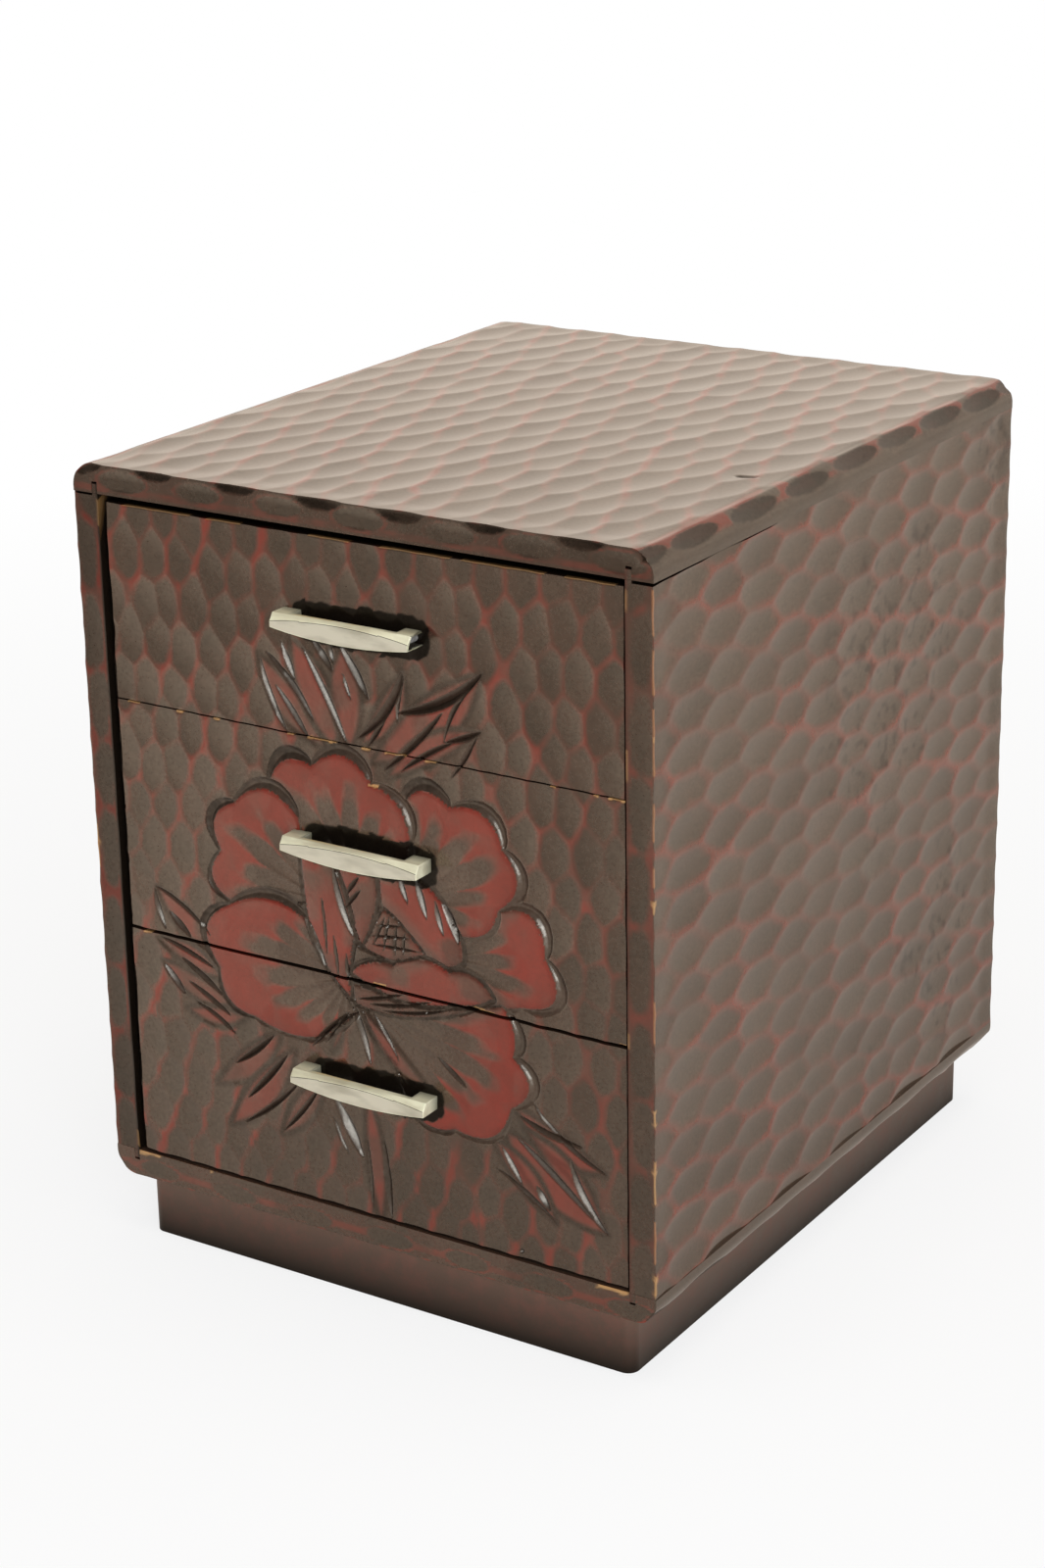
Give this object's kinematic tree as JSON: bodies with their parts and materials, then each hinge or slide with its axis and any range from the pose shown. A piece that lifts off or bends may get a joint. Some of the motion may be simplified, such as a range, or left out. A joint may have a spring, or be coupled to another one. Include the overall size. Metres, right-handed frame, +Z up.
{
  "type": "table cabinet with drawers",
  "caption": "Small carved lacquer table cabinet on a low plinth, with stacked sliding drawers and bar pulls, for jewellery and other small things.",
  "frame": {"origin": "on the floor, under the middle of the overall box, which reaches from the pulls to the rear edges of the boards", "axes": "+Z up, front towards -Y, so the drawers open along -Y, +X to the right seen from the front"},
  "size_m": [0.16, 0.187, 0.2036],
  "materials": {
    "carved_lacquer": "carved, red under dark brown lacquer, satin",
    "plain_lacquer": "smooth dark brown lacquer, satin",
    "inner_wood": "planed wood, thinly stained",
    "pull_metal": "matt white metal",
    "screw_steel": "dull"
  },
  "bodies": {
    "cabinet": {"top_board": "carved_lacquer", "bottom_board": "carved_lacquer", "left_side": "carved_lacquer", "right_side": "carved_lacquer", "plinth_front": "plain_lacquer", "plinth_back": "plain_lacquer", "plinth_left": "plain_lacquer", "plinth_right": "plain_lacquer", "back_panel": "inner_wood", "lower_dust_board": "inner_wood", "upper_dust_board": "inner_wood", "plinth_blocks": "inner_wood"},
    "upper_drawer": {"upper_drawer_front": "carved_lacquer", "upper_drawer_left_side": "inner_wood", "upper_drawer_right_side": "inner_wood", "upper_drawer_back": "inner_wood", "upper_drawer_bottom": "inner_wood", "upper_handle": "pull_metal", "upper_handle_screws": "screw_steel"},
    "middle_drawer": {"middle_drawer_front": "carved_lacquer", "middle_drawer_left_side": "inner_wood", "middle_drawer_right_side": "inner_wood", "middle_drawer_back": "inner_wood", "middle_drawer_bottom": "inner_wood", "middle_handle": "pull_metal", "middle_handle_screws": "screw_steel"},
    "lower_drawer": {"lower_drawer_front": "carved_lacquer", "lower_drawer_left_side": "inner_wood", "lower_drawer_right_side": "inner_wood", "lower_drawer_back": "inner_wood", "lower_drawer_bottom": "inner_wood", "lower_handle": "pull_metal", "lower_handle_screws": "screw_steel"}
  },
  "joints": [
    {"name": "upper_drawer_slide", "type": "slide", "parent": "cabinet", "child": "upper_drawer", "axis": [0, -1, 0], "range_m": [0, 0.13]},
    {"name": "middle_drawer_slide", "type": "slide", "parent": "cabinet", "child": "middle_drawer", "axis": [0, -1, 0], "range_m": [0, 0.13]},
    {"name": "lower_drawer_slide", "type": "slide", "parent": "cabinet", "child": "lower_drawer", "axis": [0, -1, 0], "range_m": [0, 0.13]}
  ]
}
